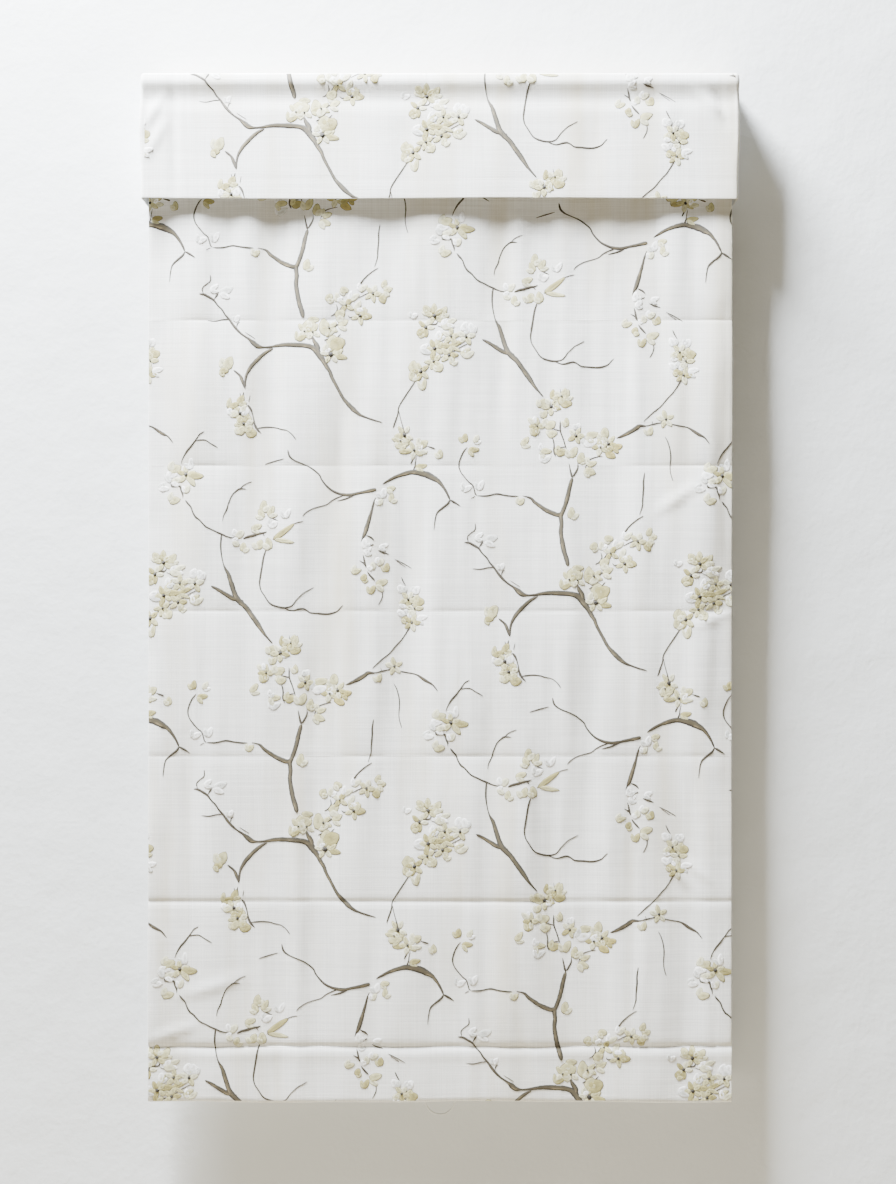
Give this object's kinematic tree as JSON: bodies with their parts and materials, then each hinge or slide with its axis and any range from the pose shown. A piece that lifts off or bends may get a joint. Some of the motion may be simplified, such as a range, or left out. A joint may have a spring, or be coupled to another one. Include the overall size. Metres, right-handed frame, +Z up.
{
  "type": "roman blind",
  "caption": "Cordless roman blind with a flat lined shade, ribs at the back, a short valance over a head board and a pull ring at the hem.",
  "frame": {"origin": "centre of the four wall screw holes in the two brackets, on the wall plane", "axes": "+X to the right, +Z up, the front faces -Y and the wall is the plane y = 0"},
  "size_m": [0.93, 0.0724, 1.632],
  "materials": {
    "linen": "matt slubbed weave",
    "lining_cloth": "matt plain weave",
    "embroidery_taupe": "satin thread",
    "embroidery_cream": "satin thread",
    "tape_white": "matt",
    "cord_white": "braided",
    "board_wood": "planed",
    "bracket_steel": "satin",
    "screw_steel": "plated",
    "channel_aluminium": "white coated",
    "bar_aluminium": "mill",
    "shaft_steel": "drawn",
    "spring_steel": "rolled",
    "white_plastic": "moulded",
    "grey_plastic": "moulded",
    "ring_plastic": "moulded",
    "clear_plastic": "clear moulded",
    "rib_fibreglass": "pultruded"
  },
  "bodies": {
    "root": {"head_board": "board_wood", "wall_bracket_left": "bracket_steel", "wall_bracket_right": "bracket_steel", "bracket_screws": "screw_steel", "head_channel": "channel_aluminium", "channel_screws": "screw_steel", "channel_cap_left": "white_plastic", "channel_cap_right": "white_plastic", "shade_hook_tape": "tape_white", "shade_loop_tape": "tape_white", "valance_hook_tape": "tape_white", "valance_loop_tape": "tape_white", "valance": "linen", "shade_face": "linen", "shade_lining": "lining_cloth", "storage_drum": "grey_plastic", "storage_pin": "shaft_steel", "spring_strip": "spring_steel", "motor_housing": "grey_plastic", "motor_cover": "grey_plastic", "cover_screws": "screw_steel", "lift_cord_left": "cord_white", "spool_cradle_left": "white_plastic", "lift_cord_centre": "cord_white", "spool_cradle_centre": "white_plastic", "lift_cord_right": "cord_white", "spool_cradle_right": "white_plastic"},
    "bar": {"bottom_bar": "bar_aluminium", "bar_cap_left": "white_plastic", "bar_cap_right": "white_plastic", "hem_rings": "ring_plastic", "cord_beads": "white_plastic", "pull_tab": "tape_white"},
    "ring": {"pull_ring": "clear_plastic"},
    "shaft": {"lift_shaft": "shaft_steel", "shaft_collars": "white_plastic", "output_drum": "grey_plastic", "cord_spool_left": "white_plastic", "cord_spool_centre": "white_plastic", "cord_spool_right": "white_plastic"},
    "rib_body_1": {"rib_1": "rib_fibreglass", "rib_tape_1": "lining_cloth", "rib_rings_1": "ring_plastic"},
    "rib_body_2": {"rib_2": "rib_fibreglass", "rib_tape_2": "lining_cloth", "rib_rings_2": "ring_plastic"},
    "rib_body_3": {"rib_3": "rib_fibreglass", "rib_tape_3": "lining_cloth", "rib_rings_3": "ring_plastic"},
    "rib_body_4": {"rib_4": "rib_fibreglass", "rib_tape_4": "lining_cloth", "rib_rings_4": "ring_plastic"},
    "rib_body_5": {"rib_5": "rib_fibreglass", "rib_tape_5": "lining_cloth", "rib_rings_5": "ring_plastic"},
    "rib_body_6": {"rib_6": "rib_fibreglass", "rib_tape_6": "lining_cloth", "rib_rings_6": "ring_plastic"}
  },
  "joints": [
    {"name": "lift", "type": "slide", "parent": "root", "child": "bar", "axis": [0, 0, 1], "range_m": [0, 1.3], "deforming": ["shade_face", "shade_lining", "lift_cord_left", "lift_cord_centre", "lift_cord_right"]},
    {"name": "rib_1_rise", "type": "slide", "parent": "root", "child": "rib_body_1", "axis": [0, 0, 1], "range_m": [0, 1.0988]},
    {"name": "rib_2_rise", "type": "slide", "parent": "root", "child": "rib_body_2", "axis": [0, 0, 1], "range_m": [0, 0.897]},
    {"name": "rib_3_rise", "type": "slide", "parent": "root", "child": "rib_body_3", "axis": [0, 0, 1], "range_m": [0, 0.6953]},
    {"name": "rib_4_rise", "type": "slide", "parent": "root", "child": "rib_body_4", "axis": [0, 0, 1], "range_m": [0, 0.4936]},
    {"name": "rib_5_rise", "type": "slide", "parent": "root", "child": "rib_body_5", "axis": [0, 0, 1], "range_m": [0, 0.2918]},
    {"name": "rib_6_rise", "type": "slide", "parent": "root", "child": "rib_body_6", "axis": [0, 0, 1], "range_m": [0, 0.0901]},
    {"name": "shaft_turn", "type": "hinge", "parent": "root", "child": "shaft", "pos_m": [0, -0.0298, 0.017], "axis": [-1, 0, 0], "range_deg": [0, 8290]},
    {"name": "ring_swing", "type": "hinge", "parent": "bar", "child": "ring", "pos_m": [0, -0.0412, -1.5279], "axis": [1, 0, 0], "range_deg": [0, 55]}
  ],
  "couplings": [
    {"joint": "rib_1_rise", "follows": "lift", "ratio": 0.84482},
    {"joint": "rib_2_rise", "follows": "lift", "ratio": 0.68964},
    {"joint": "rib_3_rise", "follows": "lift", "ratio": 0.53446},
    {"joint": "rib_4_rise", "follows": "lift", "ratio": 0.37928},
    {"joint": "rib_5_rise", "follows": "lift", "ratio": 0.2241},
    {"joint": "rib_6_rise", "follows": "lift", "ratio": 0.06892},
    {"joint": "shaft_turn", "follows": "lift", "rad_per_m": 111.11}
  ]
}
